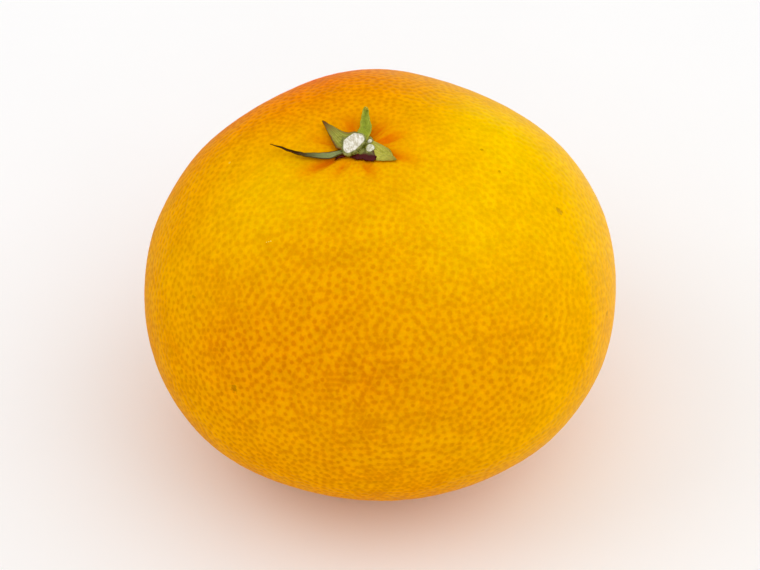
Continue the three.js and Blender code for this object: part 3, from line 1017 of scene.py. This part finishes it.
def stalkMaterial(name, finish, grain, specks):
    material, tree, shader, where = newMaterial(name, {"Roughness": 0.72, "IOR": 1.38})
    cut = numbersOf(tree, "cutShare", (-9, 2))
    stretch = newNode(tree, "Mapping", (-8, 0), {
        "Vector": where, "Rotation": (0, 0, fibreForm["turn"]), "Scale": (1.0, fibreForm["squeeze"], 1.0)})
    fibre = placedGroup(tree, grain, (-7, 0), {
        "Vector": stretch, "Coarse": 3400.0, "Fine": 9000.0, "Contrast": 0.22})
    height = fibre.outputs["Height"]
    streak = ramp(tree, (-5, 0), height, *fibreForm["streak"])
    face = mixColour(tree, (-4, 0), streak, finish["pithShade"], finish["pith"])
    bark = mixColour(tree, (-4, 1), streak, finish["bark"], finish["barkPale"])
    fleck = placedGroup(tree, specks, (-4, 3), {"Vector": where, "Scale": 2600.0, "Cover": 0.8})
    flecked = mixColour(tree, (-3, 2), fleck, bark, finish["barkDark"])
    rimRagged = calc(tree, (-6, 2), "MULTIPLY_ADD", height, fibreForm["rimRagged"], cut)
    rim = ramp(tree, (-5, 2), rimRagged, *fibreForm["rim"])
    whole = mixColour(tree, (-2, 0), rim, face, flecked)
    feed(shader, {"Base Color": shadedBy(tree, (1, 0), whole, fibre)})
    addBump(tree, shader, height, 0.45, 0.00006)
    return material


buttonFinish = {
    "leaf": (0.17, 0.18, 0.03),
    "pale": (0.33, 0.33, 0.09),
    "palePatch": (0.40, 0.62),
    "dark": (0.05, 0.03, 0.008),
    "bruise": (0.075, 0.012, 0.010),
    "bruiseCentre": (-2.5, -0.6),
    "bruiseRise": 0.4,
    "bruiseRadius": 1.1,
}


def buttonMaterial(grain, specks, spot):
    finish = buttonFinish
    material, tree, shader, where = newMaterial("buttonTissue", {"Roughness": 0.65, "IOR": 1.40})
    mottle = placedGroup(tree, grain, (-7, 0), {
        "Vector": where, "Coarse": 2200.0, "Fine": 7000.0, "Contrast": 0.35})
    height = mottle.outputs["Height"]
    patch = ramp(tree, (-5, 0), height, *finish["palePatch"])
    leaf = mixColour(tree, (-4, 0), patch, finish["leaf"], finish["pale"])
    fleck = placedGroup(tree, specks, (-4, 2), {"Vector": where, "Scale": 1900.0, "Cover": 0.8})
    flecked = mixColour(tree, (-2, 0), fleck, leaf, finish["dark"])
    centre = placed(np.array([[*finish["bruiseCentre"], crownLevel + finish["bruiseRise"]]]))[0]
    radius = finish["bruiseRadius"] * mm
    bruise = placedGroup(tree, spot, (-2, 2), {
        "Vector": where, "Centre": tuple(centre), "Radius": radius, "Ragged": radius})
    bruised = mixColour(tree, (-1, 0), bruise, flecked, finish["bruise"])
    feed(shader, {"Base Color": bruised})
    addBump(tree, shader, height, 0.7, 0.00008)
    return material


# Studio
studio = {
    "floorColour": (0.96, 0.96, 0.96),
    "floorRadius": 6.0,
    "floorSides": 96,
    "skyColour": (1.0, 1.0, 1.0),
    "skyWay": (0.6, -0.1, 0.8),
    "skyBright": 0.94,
    "skyDim": 0.72,
    "backdrop": 0.815,
    "skyInShine": 0.3,
    "floorInShine": 1.3,
    "shineEdge": 0.08,
    "lens": 169.0,
    "distance": 0.5,
    "elevation": math.radians(44.0),
    "aim": (0.00008, 0.0009, 0.0231),
}

studioLights = {
    "keyRight": {"way": (0.55, -0.25, 0.85), "away": 1.3, "size": 1.0, "watts": 1.4},
    "keyLeft": {"way": (-0.75, -0.05, 0.75), "away": 1.3, "size": 1.0, "watts": 1.8},
    "rimRight": {"way": (0.95, 0.45, 0.25), "away": 1.2, "size": 0.7, "watts": 1.6},
}


def makeFloor(grain):
    material, tree, shader, where = newMaterial("studioFloor", {"Roughness": 0.9, "IOR": 1.3})
    mottle = placedGroup(tree, grain, (-7, 0), {
        "Vector": where, "Coarse": 3.0, "Fine": 40.0, "Contrast": 0.01})
    # In reflections the floor is faint on the left and full on the right, like a shaded studio corner.
    parts = newNode(tree, "SeparateXYZ", (-6, 2), {"Vector": where})
    edge = studio["shineEdge"]
    side = ramp(tree, (-5, 2), parts.outputs["X"], -edge, edge, studio["skyInShine"], studio["floorInShine"])
    shine = newNode(tree, "LightPath", (-5, 1)).outputs["Is Glossy Ray"]
    shown = ramp(tree, (-4, 1), shine, 0.0, 1.0, 1.0, side)
    scale = calc(tree, (-3, 0), "MULTIPLY", mottle, shown)
    feed(shader, {"Base Color": shadedBy(tree, (-2, 0), studio["floorColour"], scale)})
    sides = studio["floorSides"]
    turn = np.linspace(0, 2 * math.pi, sides, endpoint=False)
    rim = studio["floorRadius"] * np.stack([np.cos(turn), np.sin(turn), 0 * turn], axis=1)
    faces = [(0, 1 + k, 1 + (k + 1) % sides) for k in range(sides)]
    floor = makeObject("studioFloor", np.concatenate([np.zeros((1, 3)), rim]), faces, material)


def lookingAt(made, aim, place):
    made.location = place
    made.rotation_euler = (aim - place).to_track_quat("-Z", "Y").to_euler()
    bpy.context.scene.collection.objects.link(made)


def makeLights():
    world = bpy.data.worlds.new("studioAir")
    bpy.context.scene.world = world
    world.use_nodes = True
    tree = world.node_tree
    around = newNode(tree, "TexCoord", (-4, 0)).outputs["Generated"]
    toward = newNode(tree, "VectorMath", (-3, 0), {
        0: around, 1: Vector(studio["skyWay"]).normalized()}, operation="DOT_PRODUCT")
    strength = ramp(tree, (-2, 0), toward, -1.0, 1.0, studio["skyDim"], studio["skyBright"])
    # The sky shows only faintly in reflections, so that the shaded rim stays deep in colour.
    ray = newNode(tree, "LightPath", (-3, 1)).outputs
    shown = ramp(tree, (-2, 1), ray["Is Glossy Ray"], 0.0, 1.0, 1.0, studio["skyInShine"])
    lit = calc(tree, (-1, 0), "MULTIPLY", strength, shown)
    far = calc(tree, (-1, 2), "MULTIPLY", ray["Is Camera Ray"], studio["backdrop"])
    backdrop = calc(tree, (0, 0), "MAXIMUM", lit, far)
    feed(tree.nodes["Background"], {"Color": (*studio["skyColour"], 1), "Strength": backdrop})
    aim = Vector(studio["aim"])
    for name, light in studioLights.items():
        data = bpy.data.lights.new(name, "AREA")
        data.shape = "DISK"
        data.size = light["size"]
        data.energy = light["watts"]
        lamp = bpy.data.objects.new(name, data)
        lookingAt(lamp, aim, aim + Vector(light["way"]).normalized() * light["away"])


def makeCamera():
    data = bpy.data.cameras.new("studioCamera")
    data.lens = studio["lens"]
    data.sensor_width = 36.0
    data.clip_start = 0.01
    camera = bpy.data.objects.new("studioCamera", data)
    aim = Vector(studio["aim"])
    rise = studio["elevation"]
    lookingAt(camera, aim, aim + studio["distance"] * Vector((0, -math.cos(rise), math.sin(rise))))
    bpy.context.scene.camera = camera


def setColours():
    view = bpy.context.scene.view_settings
    view.view_transform = "Standard"
    view.look = "None"
    view.exposure = 0.0
    view.gamma = 1.0
    view.use_curve_mapping = True
    view.curve_mapping.black_level = (0.010, 0.010, 0.012)
    view.curve_mapping.update()


def attach(piece, node):
    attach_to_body(piece, "root")
    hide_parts(node)


grainGroup = buildTissueGrain()
speckGroup = buildSpecks()
spotGroup = buildSpot()
makeCamera()
makeLights()
setColours()
makeFloor(grainGroup)
print("studio ready")

attach(makePeel(peelMaterial(grainGroup, spotGroup)), "fruit")
print("peel ready")

attach(makeButton(buttonMaterial(grainGroup, speckGroup, spotGroup)), "calyx")
for sepalName, sepalForm in sepalForms.items():
    tissue = sepalMaterial(sepalName, sepalForm, grainGroup, speckGroup)
    attach(makeSepal(sepalName, sepalForm, tissue), "calyx")
print("calyx ready")

woody = stalkMaterial("cutStalk", stalkFinish, grainGroup, speckGroup)
attach(makeStump("stalk", stalkForm, woody), "stem_stub")
dull = stalkMaterial("budScar", scarFinish, grainGroup, speckGroup)
for scarName, scarForm in scarForms.items():
    attach(makeStump(scarName, scarForm, dull), "stem_stub")
print("stalk ready")
